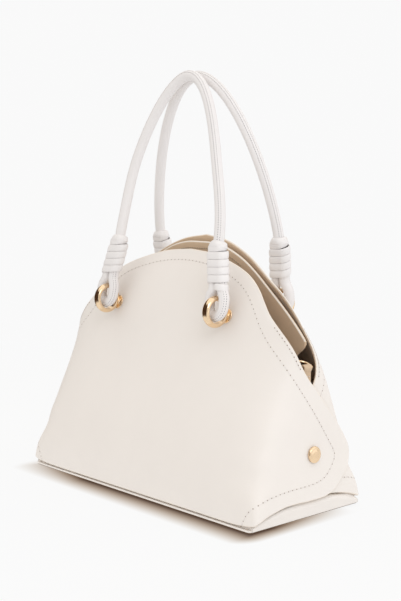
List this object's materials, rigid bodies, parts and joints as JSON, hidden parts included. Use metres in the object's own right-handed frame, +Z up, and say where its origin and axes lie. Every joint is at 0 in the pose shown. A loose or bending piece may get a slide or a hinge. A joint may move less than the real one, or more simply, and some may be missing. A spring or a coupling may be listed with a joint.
{
  "type": "top handle bag",
  "caption": "Dome-shaped leather handbag with rolled top handles on polished rings, wings that lap at the ends, a stiff base and a lined, divided interior.",
  "frame": {"origin": "middle of the underside of the base, on the surface that the bag stands on", "axes": "+X along the base towards the bag's right end as seen from the front, +Y from the front panel to the back panel, +Z up"},
  "size_m": [0.3308, 0.142, 0.4009],
  "materials": {
    "body_leather": "smooth, low sheen, ivory",
    "handle_leather": "smooth, low sheen, off-white",
    "lining": "fine suede-like, matt, taupe",
    "gilt_metal": "polished, pale gold plate",
    "board": "matt, hidden",
    "core_cord": "cotton piping cord, hidden"
  },
  "bodies": {
    "bag": {"front_panel": "body_leather", "back_panel": "body_leather", "front_lining": "lining", "back_lining": "lining", "base_panel": "body_leather", "base_board": "board", "floor_lining": "lining", "divider_front": "lining", "divider_board": "board", "divider_back": "lining", "front_left_ring": "gilt_metal", "front_right_ring": "gilt_metal", "back_left_ring": "gilt_metal", "back_right_ring": "gilt_metal", "ring_screws": "gilt_metal", "ring_washers": "gilt_metal", "left_rivet_cap": "gilt_metal", "right_rivet_cap": "gilt_metal", "left_rivet_post": "gilt_metal", "right_rivet_post": "gilt_metal", "left_strap_tab": "handle_leather", "right_strap_tab": "handle_leather"},
    "front_handle": {"front_handle_cover": "handle_leather", "front_handle_core": "core_cord", "front_left_wrap": "handle_leather", "front_right_wrap": "handle_leather"},
    "back_handle": {"back_handle_cover": "handle_leather", "back_handle_core": "core_cord", "back_left_wrap": "handle_leather", "back_right_wrap": "handle_leather"},
    "left_strap_ring": {"left_strap_ring": "gilt_metal"},
    "right_strap_ring": {"right_strap_ring": "gilt_metal"}
  },
  "joints": [
    {"name": "front_handle_swing", "type": "hinge", "parent": "bag", "child": "front_handle", "pos_m": [0, -0.03669, 0.17962], "axis": [1, 0, 0], "range_deg": [0, 150]},
    {"name": "back_handle_swing", "type": "hinge", "parent": "bag", "child": "back_handle", "pos_m": [0, 0.04856, 0.18143], "axis": [-1, 0, 0], "range_deg": [0, 150]},
    {"name": "left_strap_ring_swing", "type": "hinge", "parent": "bag", "child": "left_strap_ring", "pos_m": [-0.1518, 0.0055, 0.133], "axis": [0, -1, 0], "range_deg": [0, 140]},
    {"name": "right_strap_ring_swing", "type": "hinge", "parent": "bag", "child": "right_strap_ring", "pos_m": [0.1518, 0.0055, 0.133], "axis": [0, 1, 0], "range_deg": [0, 140]}
  ]
}
